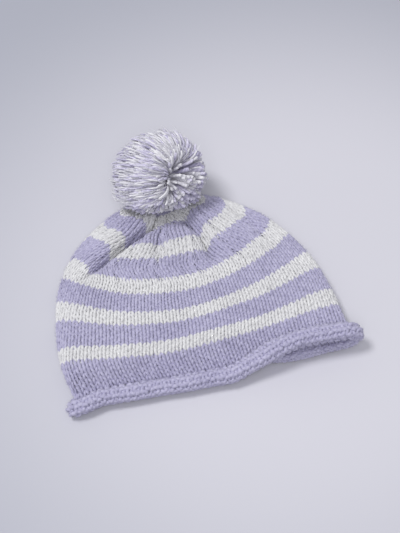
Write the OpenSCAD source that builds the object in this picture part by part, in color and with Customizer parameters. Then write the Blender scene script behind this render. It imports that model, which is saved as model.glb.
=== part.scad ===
// Hand-knitted pom pom beanie with a rolled brim, lying flat.
// +Z is up, +Y runs from the brim to the crown, +X across the brim.
// The origin is under the middle of the whole outline, on the surface it lies on.

/* [Hat] */
// Width of the hat lying flat, without the brim roll
flat_width = 190; // [150:1:240]
// Length from the wall's lower end to the top of the outline
flat_length = 148; // [110:1:190]
// Distance from the wall's lower end at which the sides start to curve in
dome_start = 32; // [10:1:70]
// Thickness of the knitted fabric
fabric_thickness = 2.4; // [1.6:0.1:4]
// Gap between the two layers at the mouth
mouth_gap = 6; // [5:0.5:20]
// Radius of the side folds, to the fabric's outer surface
fold_radius = 3.6; // [3:0.1:6]

/* [Stripes] */
// Height of each colour change above the wall's lower end, up the middle of the upper layer
middle_rows = [0, 14, 23, 33, 43, 57, 69, 86, 96, 111, 121, 133];
// Height of each colour change at the two side folds
side_rows = [0, 28, 41, 60, 73, 93, 104, 119, 127, 136, 142, 147];
// Share of that curve that the lower layer has
lower_bow = 0.25; // [0:0.05:1]

/* [Heights] */
// Height of the upper layer's top surface above the table, by distance from the mouth
upper_heights = [[0, 0], [8, 0.4], [20, 2], [40, 4.4], [60, 4.9], [80, 3.9], [100, 0.8], [118, -3.2], [131, -6.2], [148, -9]];
// Height of the side folds, by distance from the mouth
fold_heights = [[0, 0], [20, -1.6], [45, -3.2], [90, -3.4], [125, -4.6], [148, -6]];
// Height of the lower layer's underside at the mouth end, as a share of its height on the brim roll
lower_heights = [[0, 1], [3, 0.98], [8, 0.8], [14, 0.46], [20, 0.2], [26, 0.06], [32, 0.02], [148, 0.02]];

/* [Crown pleats] */
// Each soft valley in the upper layer: place across the hat from -1 to 1, depth, half width
pleats = [[-0.5, 3.4, 0.2], [0.1, 2.4, 0.16], [0.58, 2.6, 0.18]];
// Colour changes between which the valleys deepen
pleat_span = [5, 9];

/* [Brim roll] */
// Radius of the curl, measured to the middle of the fabric
curl_radius = 3.6; // [2.6:0.1:8]
// How far the edge curls round
curl_angle = 240; // [180:5:300]
// Diameter of the cast-on edge
cast_on_diameter = 2.6; // [1.6:0.1:4]

/* [Crown] */
// Distance of the gathered ring's middle from the wall's lower end
crown_y = 136; // [90:1:170]
// Height of the gathered ring's middle
crown_z = 10; // [6:0.5:30]
// Radius of the gathered ring, to the fabric's outer surface
crown_radius = 7.4; // [5:0.1:12]
// Angle of the pompom's tie above the table
tie_angle = 54; // [30:1:90]
// Diameter of the gathering yarn
drawstring_diameter = 2; // [1.2:0.1:3]

/* [Pompom] */
// Radius of the pompom
pompom_radius = 31.2; // [20:0.1:45]
// Distance from the base knot to the pompom's middle
pompom_reach = 24; // [16:0.5:40]
// Distance from the pompom's middle to its flattened base
pompom_base = 21.4; // [14:0.1:38]
// Number of strand bundles of each colour
bundles = 4; // [2:1:8]
// Radius of the tied waist of the strands
waist_radius = 3.4; // [2:0.1:6]
// Diameter of the tie yarn
tie_diameter = 1.8; // [1.2:0.1:3]
// Radius of the base knot
knot_radius = 2.2; // [1.5:0.1:4]
// Distance from the gathered ring's plane to the base knot
knot_height = 3; // [2.4:0.1:6]

/* [Colours] */
// Lilac yarn
lilac = [0.70, 0.66, 0.82];
// White yarn
white = [0.91, 0.90, 0.90];

/* [Hidden] */

$fn = 48;
around = 64;
rows_per_band = 3;
curl_steps = 12;
tiny = 0.01;
half_fabric = fabric_thickness / 2;
roll_height = 2 * curl_radius + fabric_thickness;
lower_wall = roll_height - fabric_thickness;
upper_wall = lower_wall + 2 * fabric_thickness + mouth_gap;
fold_wall = (lower_wall + upper_wall) / 2;
last_row = len(middle_rows) - 1;
gather_start = 9;

tie_dir = [0, cos(tie_angle), sin(tie_angle)];
ring_up = [0, -sin(tie_angle), cos(tie_angle)];
ring_middle = [0, crown_y, crown_z];
knot_middle = ring_middle + knot_height * tie_dir;
pompom_middle = knot_middle + pompom_reach * tie_dir;

near_end = -curl_radius - half_fabric;
far_end = pompom_middle[1] + pompom_radius;
to_origin = [0, -(near_end + far_end) / 2, 0];

yarn_gap = 0.3;
tail_spread = 1.15;
tail_top = knot_radius + 0.4;
tail_length = 5.4;
inside_knot_size = [9, 6, 3];
inside_knot_middle = [0, crown_y - 5.6, 4.9];
carried_side = 14;
carried_diameter = 1.6;
yarn_sides = 8;
woven_row = 0.55;
woven_sweep = [200, 232];

// ---- the shared shape of the lying hat ----

function smooth(f) =
    let (g = min(1, max(0, f)))
    g * g * (3 - 2 * g);

function row_of(table, k) =
    let (i = min(last_row - 1, floor(k)))
    table[i] + (table[i + 1] - table[i]) * (k - i);

function half_width(y) =
    let (f = max(0, y - dome_start) / (flat_length - dome_start))
    flat_width / 2 * sqrt(max(0, 1 - f * f));

function pleat(c, k) =
    let (
        deep = smooth((k - pleat_span[0]) / (pleat_span[1] - pleat_span[0])),
        dips = [for (p = pleats) p[1] * exp(-pow((c - p[0]) / p[2], 2))]
    )
    deep * (dips * [for (p = pleats) 1]);

// point on the outer surface: t turns round the hat, k counts colour changes
function flat_point(t, k) =
    let (
        c = cos(t),
        s = sin(t),
        side = row_of(side_rows, k),
        bow = (side - row_of(middle_rows, k)) * (s > 0 ? 1 : lower_bow),
        y = side - bow * (1 - c * c),
        fold = fold_wall + lookup(y, fold_heights),
        top = upper_wall + lookup(y, upper_heights),
        low = lower_wall * lookup(y, lower_heights),
        rise = s > 0 ? top - fold : fold - low,
        flatness = max(4, 2 * half_width(y) * fold_radius / (rise * rise)),
        swell = sqrt(max(0, 1 - pow(abs(c), flatness))),
        z = s > 0 ? fold + (top - fold) * swell - pleat(c, k) * s : fold + (low - fold) * swell
    )
    [half_width(y) * c, y, z];

function ring_point(t) = ring_middle + crown_radius * (cos(t) * [1, 0, 0] + sin(t) * ring_up);

function outer(t, k) =
    let (w = smooth((k - gather_start) / (last_row - gather_start)))
    (1 - w) * flat_point(t, k) + w * ring_point(t);

function unit(v) = v / norm(v);

function outward(t, k) =
    let (
        round_step = outer(t + 2, k) - outer(t - 2, k),
        up_step = k < tiny
            ? [0, 1, 0]
            : outer(t, min(last_row, k + 0.05)) - outer(t, max(0, k - 0.05))
    )
    unit(cross(up_step, round_step));

function inner(t, k) = outer(t, k) - fabric_thickness * outward(t, k);

// ---- solids made of rings of points ----

// the last strip is split along its other diagonal where it has to match a neighbour's face
function quads(rings, sides, closed, matched = false) = [
    for (i = [0 : (closed ? rings - 1 : rings - 2)])
        for (j = [0 : sides - 1])
            for (half = [0, 1])
                let (
                    a = i * sides + j,
                    b = i * sides + (j + 1) % sides,
                    c = ((i + 1) % rings) * sides + (j + 1) % sides,
                    d = ((i + 1) % rings) * sides + j
                )
                matched && j == sides - 1
                    ? (half == 0 ? [a, b, d] : [b, c, d])
                    : (half == 0 ? [a, b, c] : [a, c, d])
];

function end_fan(first, sides, flip) = [
    for (j = [1 : sides - 2])
        flip ? [first, first + j + 1, first + j] : [first, first + j, first + j + 1]
];

// rings that close on themselves round the hat
module hoop(profiles, matched = false) {
    sides = len(profiles[0]);
    polyhedron(
        points = [for (ring = profiles) each ring],
        faces = quads(len(profiles), sides, true, matched),
        convexity = 10
    );
}

// a round yarn through a list of points
module yarn(path, diameter) {
    count = len(path);
    rings = [
        for (i = [0 : count - 1])
            let (
                along = unit(path[min(count - 1, i + 1)] - path[max(0, i - 1)]),
                side = unit(cross(along, [0.1, 0.2, 1])),
                up = cross(side, along)
            )
            [
                for (j = [0 : yarn_sides - 1])
                    let (q = j * 360 / yarn_sides)
                    path[i] + diameter / 2 * (cos(q) * side + sin(q) * up)
            ]
    ];
    polyhedron(
        points = [for (ring = rings) each ring],
        faces = concat(
            quads(count, yarn_sides, false),
            end_fan(0, yarn_sides, true),
            end_fan((count - 1) * yarn_sides, yarn_sides, false)
        ),
        convexity = 10
    );
}

module band(first) {
    hoop(
        [
            for (i = [0 : around - 1])
                let (t = i * 360 / around)
                concat(
                    [for (n = [0 : rows_per_band]) inner(t, first + n / rows_per_band)],
                    [for (n = [rows_per_band : -1 : 0]) outer(t, first + n / rows_per_band)]
                )
        ],
        matched = true
    );
}

// a point of the curled edge: turn is the angle curled, r the distance from the curl's middle
function curl_point(t, turn, r) =
    let (
        out = outward(t, 0),
        middle = outer(t, 0) + (curl_radius - half_fabric) * out
    )
    middle + r * (sin(turn) * [0, -1, 0] - cos(turn) * out);

module at_origin() {
    translate(to_origin)
        children();
}

// ---- the hat's own pieces ----

module rolled_brim() {
    color(lilac)
        at_origin()
            hoop([
                for (i = [0 : around - 1])
                    let (t = i * 360 / around)
                    concat(
                        [
                            for (n = [0 : curl_steps])
                                curl_point(t, n * curl_angle / curl_steps, curl_radius - half_fabric)
                        ],
                        [
                            for (n = [curl_steps : -1 : 0])
                                curl_point(t, n * curl_angle / curl_steps, curl_radius + half_fabric)
                        ]
                    )
            ]);
}

module cast_on_edge() {
    edge_turn = curl_angle + 25;
    color(lilac)
        at_origin()
            hoop([
                for (i = [0 : around - 1])
                    let (t = i * 360 / around)
                    [
                        for (j = [0 : yarn_sides - 1])
                            let (
                                q = j * 360 / yarn_sides,
                                out = outward(t, 0)
                            )
                            curl_point(t, edge_turn, curl_radius)
                                + cast_on_diameter / 2 * (cos(q) * [0, -1, 0] - sin(q) * out)
                    ]
            ]);
}

module lilac_fabric(first) {
    color(lilac)
        at_origin()
            band(first);
}

module white_fabric(first) {
    color(white)
        at_origin()
            band(first);
}

module lilac_band_1() {
    lilac_fabric(0);
}

module white_stripe_1() {
    white_fabric(1);
}

module lilac_band_2() {
    lilac_fabric(2);
}

module white_stripe_2() {
    white_fabric(3);
}

module lilac_band_3() {
    lilac_fabric(4);
}

module white_stripe_3() {
    white_fabric(5);
}

module lilac_band_4() {
    lilac_fabric(6);
}

module white_stripe_4() {
    white_fabric(7);
}

module lilac_band_5() {
    lilac_fabric(8);
}

module white_stripe_5() {
    white_fabric(9);
}

module lilac_band_6() {
    lilac_fabric(10);
}

module crown_drawstring() {
    color(lilac)
        at_origin()
            translate(ring_middle)
                rotate([tie_angle - 90, 0, 0])
                    rotate_extrude()
                        translate([crown_radius - fabric_thickness - drawstring_diameter / 2, 0])
                            circle(d = drawstring_diameter);
}

// a yarn up the inside of the lower layer, beside the start of the round
module carried(side, first, last) {
    steps = 30;
    at_origin()
        yarn(
            [
                for (n = [0 : steps])
                    let (
                        k = first + (last - first) * n / steps,
                        t = 270 + side * 90 / row_of(side_rows, last_row - 1)
                    )
                    inner(t, k) - (carried_diameter / 2 + yarn_gap) * outward(t, k)
            ],
            carried_diameter
        );
}

module carried_lilac_yarn() {
    color(lilac)
        carried(carried_side, 1, 9);
}

module carried_white_yarn() {
    color(white)
        carried(carried_side + 3.6, 1, 9);
}

module woven_in_cast_on_end() {
    steps = 14;
    color(lilac)
        at_origin()
            yarn(
                [
                    for (n = [0 : steps])
                        let (t = woven_sweep[0] + (woven_sweep[1] - woven_sweep[0]) * n / steps)
                        inner(t, woven_row)
                            - (carried_diameter / 2 + yarn_gap) * outward(t, woven_row)
                ],
                carried_diameter
            );
}

module inside_knot() {
    color(lilac)
        at_origin()
            translate(inside_knot_middle)
                scale(inside_knot_size / inside_knot_size[2])
                    sphere(d = inside_knot_size[2]);
}

// ---- the tie between the crown and the pompom ----

// placed at the base knot, with z along the tie
module on_tie() {
    at_origin()
        translate(knot_middle)
            rotate([tie_angle - 90, 0, 0])
                children();
}

module tie_tail(side) {
    color(lilac)
        on_tie()
            translate([side * tail_spread, 0, -tail_top - tail_length])
                cylinder(d = tie_diameter, h = tail_length);
}

module tie_tail_left() {
    tie_tail(-1);
}

module tie_tail_right() {
    tie_tail(1);
}

module tie_knot() {
    color(lilac)
        on_tie()
            sphere(r = knot_radius);
}

module tie_stem(side) {
    stem_end = pompom_reach - waist_radius - tie_diameter - yarn_gap;
    color(lilac)
        on_tie()
            translate([side * tail_spread, 0, tail_top])
                cylinder(d = tie_diameter, h = stem_end - tail_top);
}

module tie_stem_left() {
    tie_stem(-1);
}

module tie_stem_right() {
    tie_stem(1);
}

// ---- the pompom ----

module wrap_shape(extra) {
    rotate([0, 90, 0])
        rotate_extrude()
            translate([waist_radius + yarn_gap + tie_diameter / 2, 0])
                circle(d = tie_diameter + 2 * extra);
}

module tie_wrap() {
    color(lilac)
        on_tie()
            translate([0, 0, pompom_reach])
                wrap_shape(0);
}

// alternate bundles of strands, each running through the tied waist to both sides
module strands(turn) {
    slice = 180 / bundles;
    reach = pompom_radius * 2;
    on_tie()
        difference() {
            translate([0, 0, pompom_reach])
                intersection() {
                    sphere(r = pompom_radius);
                    rotate([0, 90, 0])
                        linear_extrude(height = 2 * pompom_radius, center = true)
                            for (n = [0 : bundles - 1])
                                rotate(turn + n * 2 * slice)
                                    polygon([
                                        [yarn_gap, 0],
                                        [reach, 0],
                                        [reach * cos(slice), reach * sin(slice)]
                                            - tiny * 20 * [-sin(slice), cos(slice)],
                                        yarn_gap * [cos(slice), sin(slice)]
                                    ]);
                }
            translate([0, 0, pompom_reach])
                wrap_shape(yarn_gap);
            translate([-pompom_radius, -pompom_radius, pompom_reach - pompom_base - pompom_radius])
                cube([2 * pompom_radius, 2 * pompom_radius, pompom_radius]);
            cylinder(
                r = tail_spread + tie_diameter / 2 + yarn_gap,
                h = pompom_reach - waist_radius - yarn_gap
            );
        }
}

module pompom_lilac_strands() {
    color(lilac)
        strands(0);
}

module pompom_white_strands() {
    color(white)
        strands(180 / bundles);
}

rolled_brim();
cast_on_edge();
lilac_band_1();
white_stripe_1();
lilac_band_2();
white_stripe_2();
lilac_band_3();
white_stripe_3();
lilac_band_4();
white_stripe_4();
lilac_band_5();
white_stripe_5();
lilac_band_6();
crown_drawstring();
carried_lilac_yarn();
carried_white_yarn();
woven_in_cast_on_end();
inside_knot();
tie_tail_left();
tie_tail_right();
tie_knot();
pompom_lilac_strands();
pompom_white_strands();
tie_wrap();
tie_stem_left();
tie_stem_right();
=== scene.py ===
import math

import bpy
import numpy as np
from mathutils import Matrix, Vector


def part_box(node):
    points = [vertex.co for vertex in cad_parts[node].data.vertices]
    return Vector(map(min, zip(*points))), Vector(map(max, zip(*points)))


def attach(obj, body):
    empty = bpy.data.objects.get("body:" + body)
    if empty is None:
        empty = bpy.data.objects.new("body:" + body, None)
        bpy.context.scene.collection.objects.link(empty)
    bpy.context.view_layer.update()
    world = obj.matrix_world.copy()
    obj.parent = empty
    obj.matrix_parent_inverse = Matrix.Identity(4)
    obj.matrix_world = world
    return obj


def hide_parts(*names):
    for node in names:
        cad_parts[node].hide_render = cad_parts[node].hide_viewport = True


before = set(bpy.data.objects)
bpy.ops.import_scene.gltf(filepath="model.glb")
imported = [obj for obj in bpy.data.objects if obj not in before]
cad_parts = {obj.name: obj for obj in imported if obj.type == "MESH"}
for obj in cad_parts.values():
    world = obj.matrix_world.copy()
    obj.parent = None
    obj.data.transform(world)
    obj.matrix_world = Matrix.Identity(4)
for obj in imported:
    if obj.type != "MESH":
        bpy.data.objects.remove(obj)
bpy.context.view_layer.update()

# Everything is worked out in millimetres from the wall's lower end, on the hat's centre line,
# and moved into the row frame at the end.

MM = 0.001
BRIM_REACH = 4.8  # how far the brim's roll reaches past the wall's lower end
WALL_BOTTOM_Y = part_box("rolled_brim")[0][1] + BRIM_REACH * MM


def to_row(p):
    """Hat millimetres to the row frame's metres."""
    return np.asarray(p, float) * MM + np.array([0.0, WALL_BOTTOM_Y, 0.0])


# ------------------------------------------------------------------ the lying hat's surface

# the hat lying flat: across, from the brim to the crown, and where the sides start to close in
WIDTH, LENGTH, DOME = 190.0, 148.0, 32.0
# the rounds where the colour changes, and how high each lies up the front and at the two folds
COLOUR_ROWS = [0, 8, 12, 18, 22, 28, 32, 38, 42, 47, 51, 54]
MIDDLE = [0, 17, 24.5, 35.5, 44, 57, 69.5, 88, 103, 121, 127, 133]
LEFT = [0, 30, 40, 63, 79, 97, 110, 124, 135, 143.5, 146, 147]
RIGHT = [0, 24.5, 38.5, 57, 73, 91, 107, 124, 136.5, 144, 146, 147]
LOW_BOW = 0.25  # how much the lower layer's stripes sag, as a share of the upper layer's
# heights of the upper layer and of the folds along the hat, added to their heights at the brim
UPPER_WALL, LOWER_WALL = 18.0, 7.2
UPPER_Y = [0, 8, 20, 40, 60, 80, 100, 118, 131, 148]
UPPER_Z = [0, 0.4, 2.0, 4.4, 4.9, 3.9, 0.8, -3.2, -6.2, -9.0]
FOLD_Y = [0, 20, 45, 90, 125, 148]
FOLD_Z = [0, -1.6, -3.2, -3.4, -4.6, -6.0]
# the lower layer comes down onto the table behind the brim
LOW_Y = [0, 3, 8, 14, 20, 26, 32, 148]
LOW_F = [1, 0.98, 0.8, 0.46, 0.2, 0.06, 0.02, 0.02]
FABRIC = 2.4  # thickness of the fabric
FOLD_R = 4.4  # roundness of the side folds
CURL = 4.3  # radius of the brim's roll
MOUTH_RIGHT, MOUTH_LEFT = 15.8, 4.4  # height of the mouth's upper edge at each side
REST = 2.35  # height of the middle of the fabric where it rests on the table
SET_BACK = 16.0  # how far back the lower layer's edge lies at the left
# how far the mouth's upper edge strays from straight, across the hat
EDGE_X = [-95, -87, -73, -45, -28, 0, 13, 30, 45, 60, 75, 95]
EDGE_Y = [-2.5, 0.5, 4.0, 1.8, 0.0, -1.6, -2.8, 0.6, 2.8, 4.0, 3.2, 1.0]
# the gathered ring, the tie through it and the ball on the tie
CROWN, CROWN_R = np.array([0.0, 136.0, 10.0]), 7.0
TIE = math.radians(54)
TIE_DIR = np.array([0.0, math.cos(TIE), math.sin(TIE)])
RING_UP = np.array([0.0, -math.sin(TIE), math.cos(TIE)])
KNOT = CROWN + 3.0 * TIE_DIR
POM = KNOT + 24.0 * TIE_DIR
POM_R = 31.2
POM_BASE = 21.6  # from the ball's middle to the flat side that sits on the crown
PARTING = np.array([0.68, -0.82, 0.58])  # where the combed yarns part
PARTING = PARTING / np.linalg.norm(PARTING)

LAST_ROW = 54
CURL_ROWS = 6.4  # rounds rolled into the brim
ROW_MM = 3.6  # height of a round in the roll
# fineness of the grid: rounds between its rows, and points round the hat
STEP = 0.2
AROUND = 720


def smooth(f):
    """0 to 1 with soft ends."""
    g = np.clip(f, 0.0, 1.0)
    return g * g * (3 - 2 * g)


def blur(a, n, axis, wrap=False):
    """Repeated small box blur along one axis."""
    for _ in range(n):
        if wrap:
            a = (np.roll(a, 1, axis) + 2 * a + np.roll(a, -1, axis)) / 4
        else:
            lead = np.take(a, [0], axis)
            tail = np.take(a, [a.shape[axis] - 1], axis)
            before = np.concatenate([lead, np.delete(a, a.shape[axis] - 1, axis)], axis)
            after = np.concatenate([np.delete(a, 0, axis), tail], axis)
            b = (before + 2 * a + after) / 4
            a = np.concatenate(
                [lead, np.take(b, range(1, a.shape[axis] - 1), axis), tail], axis
            )
    return a


def along_line(x, y, line):
    """(signed distance to a polyline, share of the way along it); left of the line is negative."""
    line = np.array(line, float)
    seg = np.diff(line, axis=0)
    lens = np.hypot(seg[:, 0], seg[:, 1])
    total = lens.sum()
    best = np.full(x.shape, 1e9)
    side = np.zeros(x.shape)
    share = np.zeros(x.shape)
    done = 0.0
    for a, s, length in zip(line[:-1], seg, lens):
        f = ((x - a[0]) * s[0] + (y - a[1]) * s[1]) / length**2
        g = np.clip(f, 0, 1)
        dx, dy = x - a[0] - g * s[0], y - a[1] - g * s[1]
        d = np.hypot(dx, dy)
        near = d < best
        best = np.where(near, d, best)
        side = np.where(near, np.sign(s[0] * dy - s[1] * dx), side)
        share = np.where(near, (done + g * length) / total, share)
        done += length
    return best * np.where(side == 0, 1, side), share


# valleys in the upper layer, from the crown outward, in millimetres: points, depth, half width,
# rise of the bank on the line's right-hand side, how far that bank leans over,
# and how far the fabric on that side has slid back towards the crown
LEFT_CREASE = [(-7, 126), (-18, 119), (-29, 112), (-40, 105), (-50, 98), (-60, 91), (-70, 82)]
VALLEYS = [
    (LEFT_CREASE, 13.5, 3.4, 4.5, 4.8, 8.0),
    ([(-4, 120), (-8, 107), (-12, 93), (-14, 84)], 4.5, 3.4, 1.0, 0.5, 0.0),
    ([(14, 124), (20, 112), (23, 98), (22, 87), (25, 72)], 8.5, 4.0, -2.5, -1.5, -3.0),
    ([(50, 122), (58, 102), (63, 86), (68, 68)], 4.2, 6.0, 1.0, 0.5, 0.0),
]


def droop(x):
    """1 where the upper layer hangs down over the edge of the lower one, 0 where the mouth gapes."""
    return 1 - smooth((x - 5) / 58)


def wall(t, row):
    """The fabric's outer surface above the brim, t in radians round the hat."""
    c, s = np.cos(t), np.sin(t)
    at_left, at_right = np.interp(row, COLOUR_ROWS, LEFT), np.interp(row, COLOUR_ROWS, RIGHT)
    side = at_left * (1 - c) / 2 + at_right * (1 + c) / 2
    bow = (side - np.interp(row, COLOUR_ROWS, MIDDLE)) * np.where(s > 0, 1, LOW_BOW)
    y = side - bow * (1 - c * c)
    half = WIDTH / 2 * np.sqrt(np.clip(1 - (np.clip(y - DOME, 0, None) / (LENGTH - DOME)) ** 2, 0, 1))
    x = half * c
    hang = droop(x)
    mouth = MOUTH_LEFT * hang + MOUTH_RIGHT * (1 - hang)
    full = UPPER_WALL + np.interp(y, UPPER_Y, UPPER_Z) - 2 * (1 - smooth(y / 60))
    top = mouth + (full - mouth) * smooth((y + 2) / 25)
    low = LOWER_WALL * np.interp(y, LOW_Y, LOW_F)
    fold = (LOWER_WALL + UPPER_WALL) / 2 + np.interp(y, FOLD_Y, FOLD_Z)
    low = low * (1 - 0.42 * hang * (1 - smooth(y / 20)))
    fold = np.minimum(fold, low + 0.52 * (top - low) + 0.8)
    fold = np.where(top < low + 4, (top + low) / 2, fold)
    rise = np.where(s > 0, top - fold, fold - low)
    flat = np.clip(2 * half * FOLD_R / np.maximum(rise * rise, 1e-3), 4, 40)
    swell = np.sqrt(np.clip(1 - np.abs(c) ** flat, 0, 1))
    z = np.where(s > 0, fold + (top - fold) * swell, fold + (low - fold) * swell)
    x = x + smooth(-c) * (4.0 * (1 - smooth(y / 30)) + 2.4 * (1 - smooth((y - 50) / 60)))
    return np.stack([x, y, z], -1)


def even_round(p):
    """Each ring of points respaced evenly along its length, starting from the right-hand fold."""
    out = np.empty_like(p)
    share = np.arange(AROUND) / AROUND
    for k, ring in enumerate(p):
        loop = np.concatenate([ring, ring[:1]])
        run = np.concatenate([[0], np.cumsum(np.linalg.norm(np.diff(loop, axis=0), axis=1))])
        for d in range(3):
            out[k, :, d] = np.interp(share, run / run[-1], loop[:, d])
    return out


def even_rows(p, rows, first, last):
    """Rows between two colour changes respaced evenly up each column."""
    i, j = np.searchsorted(rows, first - 1e-6), np.searchsorted(rows, last - 1e-6)
    part = p[i : j + 1]
    run = np.concatenate(
        [np.zeros((1, AROUND)), np.cumsum(np.linalg.norm(np.diff(part, axis=0), axis=2), axis=0)]
    )
    share = np.linspace(0, 1, j - i + 1)
    for a in range(AROUND):
        for d in range(3):
            p[i : j + 1, a, d] = np.interp(share, run[:, a] / run[-1, a], part[:, a, d].copy())


def normals(p):
    """The grid's directions out of the fabric."""
    dt = np.roll(p, -1, 1) - np.roll(p, 1, 1)
    dr = np.gradient(p, axis=0)
    n = np.cross(dr, dt)
    return n / (np.linalg.norm(n, axis=-1, keepdims=True) + 1e-9)


def make_grid():
    """The middle of the fabric, row by row from inside the curl up to the ring, and its normals."""
    rows = np.arange(-CURL_ROWS, LAST_ROW + STEP / 2, STEP)
    t = np.arange(AROUND) * 2 * math.pi / AROUND
    up = rows >= -1e-9
    tt, rr = np.meshgrid(t, np.clip(rows[up], 0, None))
    p = wall(tt, rr)
    p = blur(p, 12, 0)
    # creases
    s, c = np.sin(tt), np.cos(tt)
    on_top = smooth(s / 0.35)
    x, y = p[..., 0].copy(), p[..., 1].copy()
    for line, depth, width, rise, lean, slid in VALLEYS:
        d, share = along_line(x, y, line)
        this_side = np.where(d * rise > 0, 0, 1)
        fade = smooth(share / 0.12 + 0.35) * (1 - smooth((share - 0.62) / 0.38)) * on_top
        off = np.abs(d)
        p[..., 2] -= depth * np.exp(-((off / width) ** 1.5)) * fade
        bank = this_side * np.exp(-(((off - 9) / 7.5) ** 2)) * fade
        p[..., 2] += abs(rise) * bank
        first, last = np.array(line[0], float), np.array(line[-1], float)
        way = (last - first) / np.linalg.norm(last - first)
        across = np.array([-way[1], way[0]])
        push = np.exp(-(((off - 5) / 5.0) ** 2)) * this_side * fade * lean
        slide = slid * smooth((off - 1) / 6) * (1 - smooth((off - 22) / 26)) * this_side * fade
        for axis in range(2):
            p[..., axis] += across[axis] * push - way[axis] * np.abs(slide)
    # gentle unevenness of a soft fabric
    p[..., 2] += on_top * (
        0.8 * np.sin(x / 17 + 1.0) * np.sin(y / 21 + 0.4)
        + 0.5 * np.sin(x / 9 - y / 14 + 2.0)
    ) * smooth(rr / 10)
    # crown closing to the gathered ring
    k = np.interp(rr, COLOUR_ROWS, range(12))
    w = smooth((k - 9) / 2)[..., None]
    ring = CROWN + CROWN_R * (c[..., None] * np.array([1.0, 0, 0]) + s[..., None] * RING_UP)
    p = (1 - w) * p + w * ring
    # the mouth isn't quite straight, and its lower layer lies further back at the left
    back = SET_BACK * (1 - smooth(x / 55)) + 0.3 * (1 - smooth((x - 70) / 25))
    back = back * smooth(-s / 0.5) * (1 - smooth(rr / 22))
    front = np.interp(x, EDGE_X, EDGE_Y) * smooth(s / 0.3 + 0.3) * (1 - smooth(rr / 9))
    p[..., 1] += back + front
    even_rows(p, rows[up], 0, COLOUR_ROWS[1])
    p = blur(blur(p, 3, 0), 6, 1, wrap=True)
    p = even_round(p)
    # the middle of the fabric
    n = normals(p)
    n = blur(n, 4, 1, wrap=True)
    n /= np.linalg.norm(n, axis=-1, keepdims=True)
    p = p - n * FABRIC / 2
    # the brim's curl: plumper in front of the mouth, thinner in the lower layer at the right
    down = p[0] - p[6]
    down = blur(down, 30, 0, wrap=True)
    down /= np.linalg.norm(down, axis=1, keepdims=True)
    n0 = blur(n[2], 12, 0, wrap=True)
    n0 = n0 - (n0 * down).sum(1, keepdims=True) * down
    n0 /= np.linalg.norm(n0, axis=1, keepdims=True)
    size = CURL * (1 + 0.04 * np.sin(3 * t + 1) + 0.04 * np.sin(8 * t) + 0.03 * np.sin(13 * t + 2))
    beneath = smooth((n0[:, 2] - 0.1) / -0.6)
    size = size + 0.9 * np.exp(-(((p[0, :, 0] - 34) / 32) ** 2)) * smooth((n0[:, 2] - 0.1) / 0.6)
    size = size * (1 - 0.42 * blur(beneath * smooth((p[0, :, 0] - 5) / 30), 60, 0, wrap=True))
    curl = []
    for row in rows[~up]:
        turn = (-row) * ROW_MM / size
        r = size * (1 - 0.42 * (turn / (2 * math.pi)) ** 2)
        mid = p[0] + n0 * size[:, None]
        curl.append(mid + r[:, None] * (np.sin(turn)[:, None] * down - np.cos(turn)[:, None] * n0))
    curl = np.array(curl)
    curl = 0.3 * curl + 0.7 * even_round(curl)
    p = np.concatenate([curl, p], 0)
    p = blur(p, 2, 0)
    # what would sink into the table rests on it
    p[..., 2] = REST + 0.5 * np.logaddexp(0, (p[..., 2] - REST) / 0.5)
    return rows, p, normals(p)


ROWS, GRID, NORMAL = make_grid()
NORMAL = blur(NORMAL, 3, 1, wrap=True)
NORMAL /= np.linalg.norm(NORMAL, axis=-1, keepdims=True)


def on_fabric(u, row, height):
    """Points at share u round the hat, at that row, that high above the middle of the fabric."""
    a = (u % 1.0) * AROUND
    i = np.floor(a).astype(int)
    f = (a - i)[..., None]
    i0, i1 = i % AROUND, (i + 1) % AROUND
    b = np.clip((row - ROWS[0]) / STEP, 0, len(ROWS) - 1.001)
    j = np.floor(b).astype(int)
    g = (b - j)[..., None]

    def read(m):
        under = m[j, i0] * (1 - f) + m[j, i1] * f
        over = m[j + 1, i0] * (1 - f) + m[j + 1, i1] * f
        return under * (1 - g) + over * g

    n = read(NORMAL)
    n /= np.linalg.norm(n, axis=-1, keepdims=True)
    return read(GRID) + n * np.asarray(height)[..., None], n


# ------------------------------------------------------------------ wales and crown decreases

# rounds where the stitches are fewer from, and how many are left
DECREASES = [(30, 84), (34, 72), (38, 60), (42, 48), (46, 36), (50, 24), (54, 12)]
WEDGES = 12


def wales(row):
    """Where each column of stitches is at that row, as shares round the hat, and how many there are."""
    if row <= DECREASES[0][0]:
        n = DECREASES[0][1]
        return (np.arange(n) + 0.5) / n
    for (start, n), (end, m) in zip(DECREASES[:-1], DECREASES[1:]):
        if row <= end:
            break
    f = min(1.0, (row - start) / (end - start))
    per, left = n // WEDGES, m // WEDGES
    j = np.arange(n)
    wedge, place = j // per, j % per
    after = np.minimum(place, left - 1)
    was = (j + 0.5) / n
    will = (wedge * left + after + 0.5) / m
    return was * (1 - f) + will * f


# ------------------------------------------------------------------ mesh making

def corners(ua, ub, va, vb):
    """The map places of each quad's four corners."""
    return np.stack(
        [np.stack([ua, va], -1), np.stack([ub, va], -1), np.stack([ub, vb], -1), np.stack([ua, vb], -1)],
        -2,
    )


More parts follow.
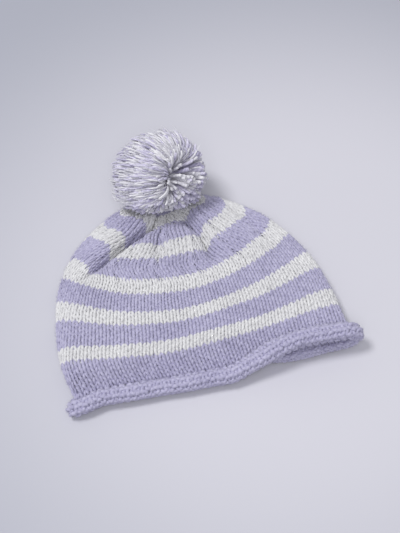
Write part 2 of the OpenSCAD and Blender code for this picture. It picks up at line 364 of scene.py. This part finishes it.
def add_mesh(name, verts, quads, uvs):
    """A smooth mesh object from hat millimetres."""
    mesh = bpy.data.meshes.new(name)
    nv, nq = len(verts), len(quads)
    mesh.vertices.add(nv)
    mesh.vertices.foreach_set("co", to_row(verts).astype(np.float32).ravel())
    mesh.loops.add(nq * 4)
    mesh.loops.foreach_set("vertex_index", np.asarray(quads, np.int32).ravel())
    mesh.polygons.add(nq)
    mesh.polygons.foreach_set("loop_start", np.arange(nq, dtype=np.int32) * 4)
    mesh.polygons.foreach_set("loop_total", np.full(nq, 4, np.int32))
    mesh.polygons.foreach_set("use_smooth", np.ones(nq, bool))
    layer = mesh.uv_layers.new(name="OFBake")
    layer.data.foreach_set("uv", np.asarray(uvs, np.float32).ravel())
    mesh.update(calc_edges=True)
    mesh.validate()
    obj = bpy.data.objects.new(name, mesh)
    bpy.context.scene.collection.objects.link(obj)
    return obj


def tube_rows(paths, radii, ups, sides, closed, cells=(1, 1)):
    """Tubes along many point lists at once: paths is (tubes, points, 3). Returns verts, quads, uvs."""
    tubes, count = paths.shape[:2]
    if closed:
        along = np.roll(paths, -1, 1) - np.roll(paths, 1, 1)
    else:
        along = np.gradient(paths, axis=1)
    along /= np.linalg.norm(along, axis=-1, keepdims=True) + 1e-9
    side = np.cross(along, ups)
    side /= np.linalg.norm(side, axis=-1, keepdims=True) + 1e-9
    up = np.cross(side, along)
    q = np.arange(sides) * 2 * math.pi / sides
    ring = (
        np.cos(q)[None, None, :, None] * up[:, :, None, :]
        + np.sin(q)[None, None, :, None] * side[:, :, None, :]
    )
    verts = paths[:, :, None, :] + radii[:, :, None, None] * ring
    spans = count if closed else count - 1
    ii, jj = np.meshgrid(np.arange(spans), np.arange(sides), indexing="ij")
    nxt = (ii + 1) % count
    a = ii * sides + jj
    b = ii * sides + (jj + 1) % sides
    c = nxt * sides + (jj + 1) % sides
    d = nxt * sides + jj
    quad = np.stack([a, d, c, b], -1).reshape(-1, 4)
    quads = (quad[None] + (np.arange(tubes) * count * sides)[:, None, None]).reshape(-1, 4)
    ua, ub = ii / spans, (ii + 1) / spans
    va, vb = jj / sides, (jj + 1) / sides
    uv = corners(ua, ub, va, vb).reshape(-1, 4, 2)
    # each tube has its own cell of the map
    wide, high = cells
    uvs = np.tile(uv[None], (tubes, 1, 1, 1)) * 0.92 + 0.04
    k = np.arange(tubes)
    uvs[..., 0] = (uvs[..., 0] + (k % wide)[:, None, None]) / wide
    uvs[..., 1] = (uvs[..., 1] + (k // wide)[:, None, None]) / high
    return verts.reshape(-1, 3), quads, uvs.reshape(-1, 2)


# ------------------------------------------------------------------ knitting

PER = 14  # points in each loop
SIDES_KNIT = 6
SWAY = 0.18  # how far a loop swings out to each side, as a share of the stitch
LOOP_REACH = 0.96  # how far a loop reaches up and down, in rounds
# the wall's loops and the brim's plumper ones: how far they stand off the fabric, the yarn's radius
# as a share of the stitch's width, and the most that radius gets to
WALL_LOOPS = (0.75, 0.215, 1.08)
BRIM_LOOPS = (1.05, 0.26, 1.25)
THINNEST_YARN = 0.45
# fuzz skin: how far it lies behind the middle of the fabric, in the wall and in the turned brim
BEHIND_WALL, BEHIND_BRIM = -1.1, 0.35
SKIN_ACROSS = 252
rng = np.random.default_rng(11)


def knit_row(row):
    """One round of loops as a closed path: points, yarn radii, fabric normals."""
    depth, plump, thickest = WALL_LOOPS if row >= 0 else BRIM_LOOPS
    here = wales(row + 0.5)
    n = len(here)
    nxt = np.roll(here, -1).copy()
    nxt[-1] += 1.0
    prev = np.roll(here, 1).copy()
    prev[0] -= 1.0
    share = (np.arange(PER) / PER - 0.5)[None]
    width = np.where(share < 0, (here - prev)[:, None], (nxt - here)[:, None])
    ang = 2 * math.pi * share
    wob = rng.normal(0, 1, (n, 4))
    sway = (SWAY + 0.02 * wob[:, :1]) * np.sin(2 * ang)
    u = here[:, None] + width * (share + sway + 0.022 * wob[:, 1:2])
    r = row + 0.5 + LOOP_REACH * np.cos(ang) * (1 + 0.04 * wob[:, 2:3]) + 0.03 * wob[:, 3:4]
    h = depth * (-np.cos(2 * ang) + 0.22 * wob[:, :1] * np.sin(ang))
    at, normal = on_fabric(u.ravel(), r.ravel(), h.ravel())
    # yarn is thinner where the stitches are drawn together
    left, _ = on_fabric(here, np.full(n, row + 0.5), np.zeros(n))
    right, _ = on_fabric(nxt, np.full(n, row + 0.5), np.zeros(n))
    gauge = np.linalg.norm(right - left, axis=1)
    thick = np.repeat(np.clip(plump * gauge, THINNEST_YARN, thickest), PER)
    thick = thick * (1 + 0.05 * np.sin(np.arange(n * PER) * 0.37 + 2.1 * row))
    thick = blur(thick, 4, 0, wrap=True)
    return at, thick, normal


def backing(first, last):
    """Fuzz filling the gaps between the loops: one skin on the side away from the eye."""
    behind = BEHIND_WALL if first >= 0 else BEHIND_BRIM
    across = SKIN_ACROSS
    rows = np.linspace(first + 0.02, last - 0.02, 2 * (last - first) + 1)
    u, r = np.meshgrid(np.arange(across) / across, rows)
    at, _ = on_fabric(u.ravel(), r.ravel(), np.full(u.size, behind))
    i, j = np.meshgrid(np.arange(len(rows) - 1), np.arange(across), indexing="ij")
    k = (j + 1) % across
    quads = np.stack([i * across + j, i * across + k, (i + 1) * across + k, (i + 1) * across + j], -1)
    n = len(rows) - 1
    uv = corners(j / across, (j + 1) / across, i / n, (i + 1) / n)
    return at, quads.reshape(-1, 4), uv.reshape(-1, 2)


def knit_piece(name, first, last):
    """The rounds of loops from first up to last, with their skin."""
    count = last - first
    v, q, uv = backing(first, last)
    uv = uv * np.array([1, 0.9 / (count + 1)])
    verts, quads, uvs, base = [v], [q], [uv], len(v)
    for k, row in enumerate(range(first, last)):
        at, thick, normal = knit_row(row)
        v, q, uv = tube_rows(at[None], thick[None], normal[None], SIDES_KNIT, True)
        uv[:, 1] = (uv[:, 1] + k + 1) / (count + 1)
        verts.append(v)
        quads.append(q + base)
        uvs.append(uv)
        base += len(v)
    return add_mesh(name, np.concatenate(verts), np.concatenate(quads), np.concatenate(uvs))


# ------------------------------------------------------------------ materials

def srgb(r, g, b):
    """A shader colour from 0 to 255 values."""
    out = []
    for v in (r, g, b):
        v /= 255
        out.append(v / 12.92 if v <= 0.04045 else ((v + 0.055) / 1.055) ** 2.4)
    return (*out, 1.0)


def yarn_material(name, light, dark, cells, twist, painted_root_shade=0.0, each=0.0, combed=0.0):
    """Wool: slanting plies with painted shade in the grooves between them, fine fibres and slow
    unevenness.

    cells is how many yarns the map holds each way. root paints shade that darkens the yarns towards their
    roots, deep in the ball, each gives every yarn its own random tone, and the rows of yarns above combed
    are lighter: painted light, as if the combed side caught more light from the left.
    """
    m = bpy.data.materials.new(name)
    m.use_nodes = True
    nt = m.node_tree
    nt.nodes.clear()

    def node(kind, **inputs):
        n = nt.nodes.new(kind)
        for key, value in inputs.items():
            n.inputs[key].default_value = value
        return n

    def maths(op, a, b=None):
        n = nt.nodes.new("ShaderNodeMath")
        n.operation = op
        for i, v in enumerate((a, b)):
            if v is None:
                continue
            if isinstance(v, (int, float)):
                n.inputs[i].default_value = v
            else:
                nt.links.new(v, n.inputs[i])
        return n.outputs[0]

    out = nt.nodes.new("ShaderNodeOutputMaterial")
    bsdf = nt.nodes.new("ShaderNodeBsdfPrincipled")
    nt.links.new(bsdf.outputs[0], out.inputs[0])
    uv = nt.nodes.new("ShaderNodeUVMap")
    uv.uv_map = "OFBake"
    coord = nt.nodes.new("ShaderNodeTexCoord")
    split = nt.nodes.new("ShaderNodeSeparateXYZ")
    nt.links.new(uv.outputs[0], split.inputs[0])
    u = maths("MULTIPLY", split.outputs[0], float(cells[0]))
    v = maths("MULTIPLY", split.outputs[1], float(cells[1]))
    along, round_it = maths("FRACT", u), maths("FRACT", v)
    slant = maths("ADD", maths("MULTIPLY", along, float(twist)), maths("MULTIPLY", round_it, 2.0))
    ply = maths("SINE", maths("MULTIPLY", slant, 2 * math.pi))
    ply = maths("ADD", maths("MULTIPLY", ply, 0.5), 0.5)
    fine = node("ShaderNodeTexNoise", Scale=1700.0, Detail=3.0)
    nt.links.new(coord.outputs["Object"], fine.inputs["Vector"])
    slow = node("ShaderNodeTexNoise", Scale=60.0, Detail=3.0)
    nt.links.new(coord.outputs["Object"], slow.inputs["Vector"])
    # the ply wave puts painted shade in the grooves between the plies; with the fine noise it is also the
    # bump's height
    tone = maths("ADD", maths("MULTIPLY", fine.outputs["Fac"], 0.45), maths("MULTIPLY", ply, 0.2))
    height = tone
    tone = maths("ADD", tone, maths("MULTIPLY", slow.outputs["Fac"], 0.35))
    if each:
        pick = nt.nodes.new("ShaderNodeCombineXYZ")
        nt.links.new(maths("FLOOR", u), pick.inputs[0])
        nt.links.new(maths("FLOOR", v), pick.inputs[1])
        white = nt.nodes.new("ShaderNodeTexWhiteNoise")
        nt.links.new(pick.outputs[0], white.inputs["Vector"])
        tone = maths("ADD", tone, maths("MULTIPLY", maths("SUBTRACT", white.outputs["Value"], 0.5), each))
    if combed:
        # painted light: the rows of yarns above combed, on the combed side, are made lighter as if lit
        # from the left
        tone = maths("ADD", tone, maths("MULTIPLY", maths("GREATER_THAN", v, combed), 0.17))
    if painted_root_shade:
        # painted shade: darker towards the roots, deep in the ball, and a little lighter at the tips
        tone = maths("ADD", tone, maths("MULTIPLY", maths("SUBTRACT", along, 0.75), painted_root_shade))
    ramp = nt.nodes.new("ShaderNodeValToRGB")
    ramp.color_ramp.elements[0].position = 0.22
    ramp.color_ramp.elements[0].color = dark
    ramp.color_ramp.elements[1].position = 0.75
    ramp.color_ramp.elements[1].color = light
    nt.links.new(tone, ramp.inputs[0])
    nt.links.new(ramp.outputs[0], bsdf.inputs["Base Color"])
    bump = node("ShaderNodeBump", Strength=0.3, Distance=0.0004)
    nt.links.new(height, bump.inputs["Height"])
    nt.links.new(bump.outputs[0], bsdf.inputs["Normal"])
    bsdf.inputs["Roughness"].default_value = 0.95
    bsdf.inputs["Specular IOR Level"].default_value = 0.15
    bsdf.inputs["Sheen Weight"].default_value = 0.35
    bsdf.inputs["Sheen Roughness"].default_value = 0.5
    return m


LILAC_LIGHT, LILAC_DARK = srgb(200, 197, 221), srgb(156, 152, 183)
WHITE_LIGHT, WHITE_DARK = srgb(236, 236, 236), srgb(203, 202, 205)
LILAC = yarn_material("lilac_wool", LILAC_LIGHT, LILAC_DARK, (1, 1), 420)
WHITE = yarn_material("white_wool", WHITE_LIGHT, WHITE_DARK, (1, 1), 420)


def finish_piece(obj, material, slot, body, *nodes):
    """Give a piece its looks and its body, and hide the CAD nodes that it stands for."""
    obj.data.materials.append(material)
    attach(obj, body)
    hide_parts(*nodes)
    return obj


# ------------------------------------------------------------------ the hat

finish_piece(knit_piece("brim_knitting", -6, 0), LILAC, "lilac_yarn", "hat", "rolled_brim")
for i in range(11):
    white = i % 2 == 1
    number = i // 2 + 1
    node = f"white_stripe_{number}" if white else f"lilac_band_{number}"
    finish_piece(
        knit_piece(node + "_knitting", COLOUR_ROWS[i], COLOUR_ROWS[i + 1]),
        WHITE if white else LILAC,
        "white_yarn" if white else "lilac_yarn",
        "hat",
        node,
    )


def plied(name, path, radius, up, closed, material, slot, body, *nodes, turns=0.22):
    """A yarn of two plies twisted round each other along a path."""
    path = np.asarray(path, float)
    run = np.concatenate([[0], np.cumsum(np.linalg.norm(np.diff(path, axis=0), axis=1))])
    if closed:
        run_total = run[-1] + np.linalg.norm(path[0] - path[-1])
        rate = round(turns * run_total) / run_total
        along = np.roll(path, -1, 0) - np.roll(path, 1, 0)
    else:
        rate = turns
        along = np.gradient(path, axis=0)
    along /= np.linalg.norm(along, axis=1, keepdims=True)
    up = np.broadcast_to(np.asarray(up, float), path.shape)
    side = np.cross(along, up)
    side /= np.linalg.norm(side, axis=1, keepdims=True) + 1e-9
    over = np.cross(side, along)
    both = []
    for ply in range(2):
        q = 2 * math.pi * (rate * run) + math.pi * ply
        both.append(path + 0.46 * radius * (np.cos(q)[:, None] * over + np.sin(q)[:, None] * side))
    both = np.array(both)
    radii = np.full(both.shape[:2], 0.56 * radius)
    if not closed:
        radii[:, 0] *= 0.35
        radii[:, -1] *= 0.35
    v, q, uv = tube_rows(both, radii, np.broadcast_to(over, both.shape), 8, closed, (1, 2))
    return finish_piece(add_mesh(name, v, q, uv), material, slot, body, *nodes)


def spread(count):
    """Even shares round a closed loop."""
    return np.arange(count) / count


# the cast-on edge, inside the curl
edge, _ = on_fabric(spread(900), np.full(900, -CURL_ROWS), np.zeros(900))
plied("cast_on_chain", edge, 1.3, [0, 0, 1.0], True, LILAC, "lilac_yarn", "hat", "cast_on_edge")

# the drawstring, round the inside of the last round of stitches
q = spread(160) * 2 * math.pi
round_ring = np.cos(q)[:, None] * np.array([1.0, 0, 0]) + np.sin(q)[:, None] * RING_UP
ring = CROWN + (CROWN_R - FABRIC - 0.6) * round_ring
plied("drawstring_yarn", ring, 1.0, TIE_DIR, True, LILAC, "lilac_yarn", "hat", "crown_drawstring")

# the two colours carried up the inside, and the end of the cast-on yarn woven in
climb = np.linspace(COLOUR_ROWS[1], COLOUR_ROWS[9], 260)
for name, share, material, slot, node in (
    ("carried_lilac", 0.760, LILAC, "lilac_yarn", "carried_lilac_yarn"),
    ("carried_white", 0.7705, WHITE, "white_yarn", "carried_white_yarn"),
):
    at, up = on_fabric(np.full(climb.size, share), climb, -2.0 - 0.25 * np.cos(climb * 1.6))
    plied(name, at, 0.8, up, False, material, slot, "hat", node)
WOVEN = 120  # points along the woven-in end
weave = np.full(WOVEN, 5.5) + 0.25 * np.sin(np.arange(WOVEN) * 0.5)
at, up = on_fabric(np.linspace(0.555, 0.64, WOVEN), weave, np.full(WOVEN, -2.0))
plied("woven_in_end", at, 0.8, up, False, LILAC, "lilac_yarn", "hat", "woven_in_cast_on_end")


def box_of(node):
    """A CAD node's box in hat millimetres."""
    low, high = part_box(node)
    low, high = np.asarray(low) / MM, np.asarray(high) / MM
    shift = np.array([0.0, WALL_BOTTOM_Y / MM, 0.0])
    return low - shift, high - shift


def knot_piece(name, node, body, radius):
    """A yarn wound into a small knot filling the node's box."""
    low, high = box_of(node)
    mid, half = (low + high) / 2, (high - low) / 2 - radius
    q = spread(220) * 2 * math.pi
    path = mid + np.stack(
        [
            half[0] * (0.62 * np.sin(q) + 0.38 * np.sin(2 * q + 0.4)),
            half[1] * (0.62 * np.cos(q) - 0.38 * np.cos(2 * q)),
            half[2] * -np.sin(3 * q),
        ],
        -1,
    )
    return plied(name, path, radius, [0.1, 0.3, 1.0], True, LILAC, "lilac_yarn", body, node)


knot_piece("inside_knot_yarn", "inside_knot", "hat", 0.9)
knot_piece("base_knot_yarn", "tie_knot", "base_knot", 0.8)


def axes_of(node):
    """A CAD node's points about their middle, that middle, and the node's three main directions."""
    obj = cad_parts[node]
    pts = np.array([obj.matrix_world @ v.co for v in obj.data.vertices]) / MM
    pts = pts - np.array([0.0, WALL_BOTTOM_Y / MM, 0.0])
    mid = pts.mean(0)
    _, _, axes = np.linalg.svd(pts - mid, full_matrices=False)
    return pts - mid, mid, axes


def yarn_along(name, node, body, radius):
    """A straight short yarn along the node's longest direction."""
    off, mid, axes = axes_of(node)
    d = axes[0]
    f = off @ d
    a, b = mid + d * f.min(), mid + d * f.max()
    path = a[None] + (b - a)[None] * np.linspace(0.02, 0.98, 24)[:, None]
    return plied(name, path, radius, axes[2], False, LILAC, "lilac_yarn", body, node)


for node, body in (
    ("tie_tail_left", "tie_tails"), ("tie_tail_right", "tie_tails"),
    ("tie_stem_left", "pompom"), ("tie_stem_right", "pompom"),
):
    yarn_along(node + "_yarn", node, body, 0.85)


def fuzz(name, bands, count, seed, material, slot):
    """Short loose fibres standing off the yarn."""
    r = np.random.default_rng(seed)
    spans = np.array(bands, float)
    tall = spans[:, 1] - spans[:, 0]
    pick = r.choice(len(spans), count, p=tall / tall.sum())
    row = spans[pick, 0] + tall[pick] * r.random(count)
    u = r.random(count)
    side = np.where(row < 0, -1.0, 1.0)
    du, dr = r.normal(0, 0.0032, count), r.normal(0, 0.45, count)
    path = []
    for f, h in ((0.0, 0.9), (0.35, 1.75), (0.7, 2.15), (1.0, 1.9)):
        lift = side * (h + (0.35 * r.random(count) if f else 0.0))
        at, normal = on_fabric(u + du * f, np.clip(row + dr * f, -CURL_ROWS, LAST_ROW), lift)
        path.append(at)
    path = np.stack(path, 1)
    radii = np.tile(np.array([0.1, 0.09, 0.07, 0.03]), (count, 1))
    up = np.repeat(normal[:, None], 4, 1)
    wide = math.ceil(math.sqrt(count))
    v, q, uv = tube_rows(path, radii, up, 3, False, (wide, math.ceil(count / wide)))
    v[:, 2] = np.maximum(v[:, 2], 0.1)
    return finish_piece(add_mesh(name, v, q, uv), material, slot, "hat")


lilac_bands = [(-6, 0)] + [(COLOUR_ROWS[i], COLOUR_ROWS[i + 1]) for i in range(0, 11, 2)]
white_bands = [(COLOUR_ROWS[i], COLOUR_ROWS[i + 1]) for i in range(1, 11, 2)]
fuzz("lilac_wool_fuzz", lilac_bands, 6000, 21, LILAC, "lilac_yarn")
fuzz("white_wool_fuzz", white_bands, 3000, 22, WHITE, "white_yarn")

# ------------------------------------------------------------------ the pompom

# the way the long strands are combed: to the left and up over the top
COMBED = np.array([-0.72, 0.62, 0.3])
COMBED = COMBED - (COMBED @ PARTING) * PARTING
COMBED = COMBED / np.linalg.norm(COMBED)


# how far the yarns, and the finer fibres, hang down past the flat side round its edge
YARN_HANG, FIBRE_HANG = 0.7, 2.6
HEART_LON, HEART_LAT = 24, 12


def squashed(path, out, hang=YARN_HANG):
    """The ball's own shape: a little flat, leaning back, and flattened where it sits on the crown.

    The flat side is hollowed a little over the knot.
    """
    path = path * np.array([0.98, 0.9, 0.9]) + out * np.array([4.6, -3.6, -1.2])
    along = path @ TIE_DIR
    wide = np.linalg.norm(path - along[..., None] * TIE_DIR, axis=-1)
    deep = -along - POM_BASE - hang * smooth((wide - 4) / 9) + 2.4 * (1 - smooth((wide - 2.5) / 3.5))
    path = path + np.clip(deep, 0, None)[..., None] * TIE_DIR + POM
    # nothing is wide enough to touch the table as the ball twists on its tie
    along = (path - KNOT) @ TIE_DIR
    off = path - KNOT - along[..., None] * TIE_DIR
    wide = np.linalg.norm(off, axis=-1) + 1e-9
    room = (KNOT[2] + along * math.sin(TIE) - 2.2) / math.cos(TIE)
    under = smooth((-(off @ RING_UP) / wide + 0.15) / 0.35)
    return path - off * (under * (1 - np.clip(room / wide, 0.5, 1)))[..., None]


def with_heart(v, q, uv, wide, high):
    """The dense middle of the ball, just under the combed yarns."""
    a, b = np.meshgrid(np.arange(HEART_LON), np.arange(HEART_LAT + 1), indexing="ij")
    lon, lat = a * math.pi / 12, (b / 12 - 0.5) * math.pi * 0.999
    ball = np.stack([np.cos(lat) * np.cos(lon), np.cos(lat) * np.sin(lon), np.sin(lat)], -1)
    at = squashed(POM_R * (0.62 * ball + 0.2 * COMBED - 0.1 * PARTING), 0.8)
    a, b = np.meshgrid(np.arange(HEART_LON), np.arange(HEART_LAT), indexing="ij")
    c = (a + 1) % HEART_LON
    high_row = HEART_LAT + 1
    quads = np.stack([a * high_row + b, c * high_row + b, c * high_row + b + 1, a * high_row + b + 1], -1)
    quads = quads.reshape(-1, 4) + len(v)
    # its map is a narrow strip of the last cell
    ua, ub = 0.7 + 0.02 * a / 24, 0.7 + 0.02 * (a + 1) / 24
    va, vb = 0.1 + 0.8 * b / 12, 0.1 + 0.8 * (b + 1) / 12
    cell = corners(ua, ub, va, vb)
    cell = (cell.reshape(-1, 2) + np.array([wide - 1, high - 1])) / np.array([wide, high])
    return np.concatenate([v, at.reshape(-1, 3)]), np.concatenate([q, quads]), np.concatenate([uv, cell])


# the two colours were wound in turns, so each one fills patches of the ball: waves and their phases
PATCHES = ((4.1, 2.2, -3.0, 0.5), (-2.6, 4.4, 2.1, 2.0), (3.3, -3.1, 4.6, 4.1))
TUFTS = 220
# shares of the way out along a yarn, and its thickness there
ALONG = np.array([0, 0.2, 0.38, 0.54, 0.68, 0.8, 0.9, 0.97, 1.0])
THICKNESS = np.array([0.8, 0.9, 0.95, 1.0, 1.05, 1.1, 1.12, 0.95, 0.25])


def strands(name, count, extra, seed, light, dark, slot, *nodes, turn=0, thin=1.0, sides=5, loose=1.0):
    """Cut yarns standing out from the tied middle: stubby on the right, combed out long to the left.

    count are spread over the ball and extra are on the combed side. turn picks the colour's patches.
    """
    r = np.random.default_rng(seed)
    total = count + extra
    z = r.uniform(-1, 1, total * 8)
    a = r.uniform(0, 2 * math.pi, total * 8)
    d = np.stack([np.sqrt(1 - z * z) * np.cos(a), np.sqrt(1 - z * z) * np.sin(a), z], -1)
    along = d @ PARTING
    e = d - along[:, None] * PARTING
    e /= np.linalg.norm(e, axis=1, keepdims=True)
    theta = np.arccos(np.clip(along, -1, 1))
    left = smooth((e @ COMBED + 0.3) / 0.7) * smooth((theta - 0.1) / 0.4)
    patch = sum(np.sin(d @ np.array(k) + p) for *k, p in PATCHES)
    keep = (patch * turn > -0.35) | (r.random(total * 8) < 0.3)
    # the extra ones are all on the combed side
    some = np.flatnonzero(keep)[:count]
    keep[: some[-1] + 1] = False
    more = np.flatnonzero(keep & (left > 0.5) & (theta < 2.4))[:extra]
    pick = np.concatenate([some, more])
    total = len(pick)
    d, e, left, theta = d[pick], e[pick], left[pick], theta[pick]
    # the yarns cling together in tufts
    tufts = np.random.default_rng(9).normal(0, 1, (TUFTS, 3))
    tufts /= np.linalg.norm(tufts, axis=1, keepdims=True)
    theta = theta + left * np.clip(1.45 - theta, 0, None) * r.uniform(0.45, 1.0, total)
    theta = theta + r.normal(0, 0.06, total)
    reach = 1.0 + r.normal(0, 0.024, total) + left * r.normal(0.0, 0.03, total)
    f, steps = ALONG, len(ALONG)
    start = theta * (1 - 0.5 * left) * r.uniform(0.85, 1.0, total)
    ang = start[:, None] + (theta - start)[:, None] * f[None] ** 1.4
    rad = 0.3 + 0.7 * (1 - (1 - f[None]) ** (1.0 + 0.8 * left[:, None]))
    rad = POM_R * reach[:, None] * rad
    path = rad[..., None] * (
        np.cos(ang)[..., None] * PARTING + np.sin(ang)[..., None] * e[:, None]
    )
    tip = path[:, -1] / np.linalg.norm(path[:, -1], axis=1, keepdims=True)
    nearest = tufts[np.argmax(tip @ tufts.T, axis=1)]
    pull = (nearest - tip) * POM_R * (0.3 - 0.1 * left[:, None])
    path = path + pull[:, None, :] * (f**1.5)[None, :, None]
    stray = loose * r.normal(0, 1.0, (total, 1, 3))
    path = path + stray * (f**2)[None, :, None] * (1 + left[:, None, None])
    path = path + loose * r.normal(0, 0.5, (total, 1, 3)) * np.sin(f * 5.0)[None, :, None]
    out = np.clip(np.linalg.norm(path, axis=-1, keepdims=True) / POM_R, 0, 1)
    path = squashed(path, out, YARN_HANG if sides > 3 else FIBRE_HANG)
    path[..., 2] = np.maximum(path[..., 2], 1.2 + 0.4 * r.random((total, 1)))
    size = thin * (1.25 - 0.55 * left) * r.uniform(0.85, 1.15, total)
    shape, by_left = THICKNESS[None], left[:, None]
    tapered = by_left * shape * np.linspace(1.05, 0.75, steps)[None]
    radii = size[:, None] * (shape * (1 - by_left) + tapered)
    up = np.cross(e, r.normal(0, 1, (total, 3)))
    up = np.repeat((up / np.linalg.norm(up, axis=1, keepdims=True))[:, None], steps, 1)
    wide = math.ceil(math.sqrt(total + 1))
    high = math.ceil((total + 1) / wide)
    v, q, uv = tube_rows(path, radii, up, sides, False, (wide, high))
    if turn == 1:
        v, q, uv = with_heart(v, q, uv, wide, high)
    material = yarn_material(
        name + "_wool", light, dark, (wide, high), 6, painted_root_shade=0.2, each=0.3, combed=len(some) / wide
    )
    obj = add_mesh(name, v, q, uv)
    return finish_piece(obj, material, slot, "pompom", *nodes)


strands(
    "pompom_lilac_yarns", 1000, 1240, 3, srgb(224, 220, 238), srgb(160, 155, 186),
    "lilac_yarn", "pompom_lilac_strands", turn=1,
)
strands(
    "pompom_white_yarns", 1000, 1240, 4, srgb(240, 239, 243), srgb(182, 180, 192),
    "white_yarn", "pompom_white_strands", turn=-1,
)
strands(
    "pompom_loose_fibres", 700, 2800, 5, srgb(236, 235, 242), srgb(205, 203, 218),
    "lilac_yarn", thin=0.32, sides=3, loose=1.15,
)

# the tie round the waist of the strands
q = spread(200) * 2 * math.pi
off, mid, axes = axes_of("tie_wrap")
flat_r = np.linalg.norm(off - (off @ axes[2])[:, None] * axes[2], axis=1)
ring_r = (flat_r.min() + flat_r.max()) / 2
tie_r = (flat_r.max() - flat_r.min()) / 2
ring = mid + ring_r * (np.cos(q)[:, None] * axes[0] + np.sin(q)[:, None] * axes[1])
plied("tie_wrap_yarn", ring, tie_r, axes[2], True, LILAC, "lilac_yarn", "pompom", "tie_wrap")

# ------------------------------------------------------------------ floor, light and camera

FLOOR_HALF = 3.0  # metres
PAINTED_LIGHT_CENTRE = (0.09, -0.03)  # centre of the painted pool of light, where the floor is palest, in metres
# the painted light reaches out to the first distance, and the painted shade is full from the second, in
# metres
PAINTED_LIGHT_OUT_TO, PAINTED_SHADE_FROM = 0.1, 0.36


def floor_material():
    """Pale, with a painted pool of light: painted shade darkens it away from the pool's centre."""
    material = bpy.data.materials.new("pale_floor")
    material.use_nodes = True
    tree = material.node_tree
    surface = tree.nodes["Principled BSDF"]
    surface.inputs["Roughness"].default_value = 0.85
    place = tree.nodes.new("ShaderNodeTexCoord")
    away = tree.nodes.new("ShaderNodeVectorMath")
    away.operation = "LENGTH"
    shift = tree.nodes.new("ShaderNodeVectorMath")
    shift.inputs[1].default_value = (-PAINTED_LIGHT_CENTRE[0], -PAINTED_LIGHT_CENTRE[1], 0.0)
    tree.links.new(place.outputs["Object"], shift.inputs[0])
    tree.links.new(shift.outputs["Vector"], away.inputs[0])
    fade = tree.nodes.new("ShaderNodeMapRange")
    fade.interpolation_type = "SMOOTHSTEP"
    fade.inputs["From Min"].default_value = PAINTED_LIGHT_OUT_TO
    fade.inputs["From Max"].default_value = PAINTED_SHADE_FROM
    tree.links.new(away.outputs["Value"], fade.inputs["Value"])
    painted_falloff_mix = tree.nodes.new("ShaderNodeMix")
    painted_falloff_mix.data_type = "RGBA"
    # the pale floor colour, then the darker painted shade away from the pool of light
    painted_falloff_mix.inputs[6].default_value = srgb(211, 210, 218)
    painted_falloff_mix.inputs[7].default_value = srgb(172, 174, 185)
    tree.links.new(fade.outputs[0], painted_falloff_mix.inputs[0])
    tree.links.new(painted_falloff_mix.outputs[2], surface.inputs["Base Color"])
    return material


floor_mesh = bpy.data.meshes.new("floor")
half = FLOOR_HALF
floor_corners = [(-half, -half, 0), (half, -half, 0), (half, half, 0), (-half, half, 0)]
floor_mesh.from_pydata(floor_corners, [], [(0, 1, 2, 3)])
floor = bpy.data.objects.new("floor", floor_mesh)
bpy.context.scene.collection.objects.link(floor)
floor_mesh.materials.append(floor_material())


def point_along(obj, direction):
    """Turn a light or camera to face a direction."""
    obj.rotation_mode = "QUATERNION"
    obj.rotation_quaternion = Vector(direction).to_track_quat("-Z", "Y")


def area(name, at, size, watts):
    """A round soft light that faces the origin."""
    light = bpy.data.lights.new(name, "AREA")
    light.shape = "DISK"
    light.size = size
    light.energy = watts
    obj = bpy.data.objects.new(name, light)
    obj.location = at
    point_along(obj, -np.array(at, float))
    bpy.context.scene.collection.objects.link(obj)


area("window", (-1.2, 0.4, 3.0), 1.0, 50)
area("room", (-0.4, -1.3, 2.0), 1.4, 17)

world = bpy.data.worlds.new("studio")
world.use_nodes = True
world.node_tree.nodes["Background"].inputs[0].default_value = (0.93, 0.94, 1.0, 1)
world.node_tree.nodes["Background"].inputs[1].default_value = 0.42
bpy.context.scene.world = world
bpy.context.scene.view_settings.view_transform = "Standard"

AZIMUTH, ELEVATION, DISTANCE = math.radians(-15.5), math.radians(55), 0.764
AIM = to_row([16.4, 88.0, 0.0])
cam_data = bpy.data.cameras.new("camera")
cam_data.lens = 74.3
cam_data.sensor_width = 36
camera = bpy.data.objects.new("camera", cam_data)
bpy.context.scene.collection.objects.link(camera)
bpy.context.scene.camera = camera
back = np.array([
    math.sin(AZIMUTH) * math.cos(ELEVATION),
    -math.cos(AZIMUTH) * math.cos(ELEVATION),
    math.sin(ELEVATION),
])
camera.location = Vector(AIM + back * DISTANCE)
point_along(camera, -back)
